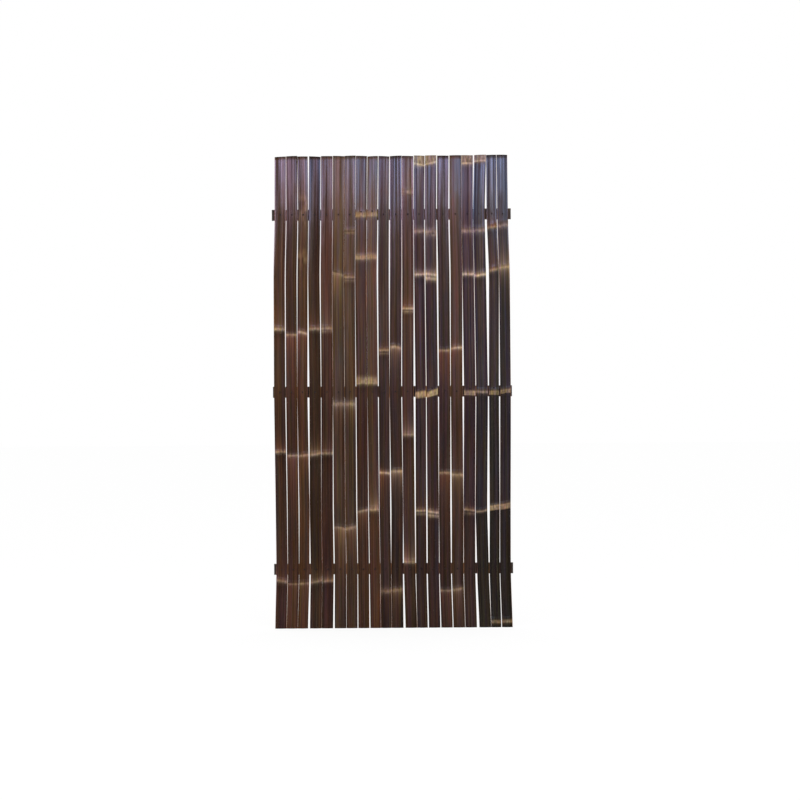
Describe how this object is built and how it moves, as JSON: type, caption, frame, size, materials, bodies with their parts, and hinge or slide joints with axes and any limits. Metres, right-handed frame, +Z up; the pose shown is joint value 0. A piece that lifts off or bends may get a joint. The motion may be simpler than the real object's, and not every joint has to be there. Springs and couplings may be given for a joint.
{
  "type": "bamboo fence panel",
  "caption": "Rectangular privacy fence panel of dark split bamboo slats, standing side by side with narrow uneven gaps and nailed to cross battens behind.",
  "frame": {"origin": "middle of the panel's foot, in the plane where the back edges of the slats bear on the battens", "axes": "+Z up along the slats, -Y out of the front, the skin side of the slats, +X to the right seen from the front"},
  "size_m": [0.911, 0.0222, 1.8],
  "materials": {
    "slat_bamboo": "dark stained bamboo skin under clear varnish, with tan node rings",
    "batten_bamboo": "dark stained bamboo, satin",
    "nail_iron": "black forged iron, slightly rusted"
  },
  "bodies": {
    "root": {"slat_01": "slat_bamboo", "slat_02": "slat_bamboo", "slat_03": "slat_bamboo", "slat_04": "slat_bamboo", "slat_05": "slat_bamboo", "slat_06": "slat_bamboo", "slat_07": "slat_bamboo", "slat_08": "slat_bamboo", "slat_09": "slat_bamboo", "slat_10": "slat_bamboo", "slat_11": "slat_bamboo", "slat_12": "slat_bamboo", "slat_13": "slat_bamboo", "slat_14": "slat_bamboo", "slat_15": "slat_bamboo", "slat_16": "slat_bamboo", "slat_17": "slat_bamboo", "slat_18": "slat_bamboo", "slat_19": "slat_bamboo", "slat_20": "slat_bamboo", "lower_batten": "batten_bamboo", "middle_batten": "batten_bamboo", "upper_batten": "batten_bamboo", "lower_nails": "nail_iron", "middle_nails": "nail_iron", "upper_nails": "nail_iron"}
  },
  "joints": []
}
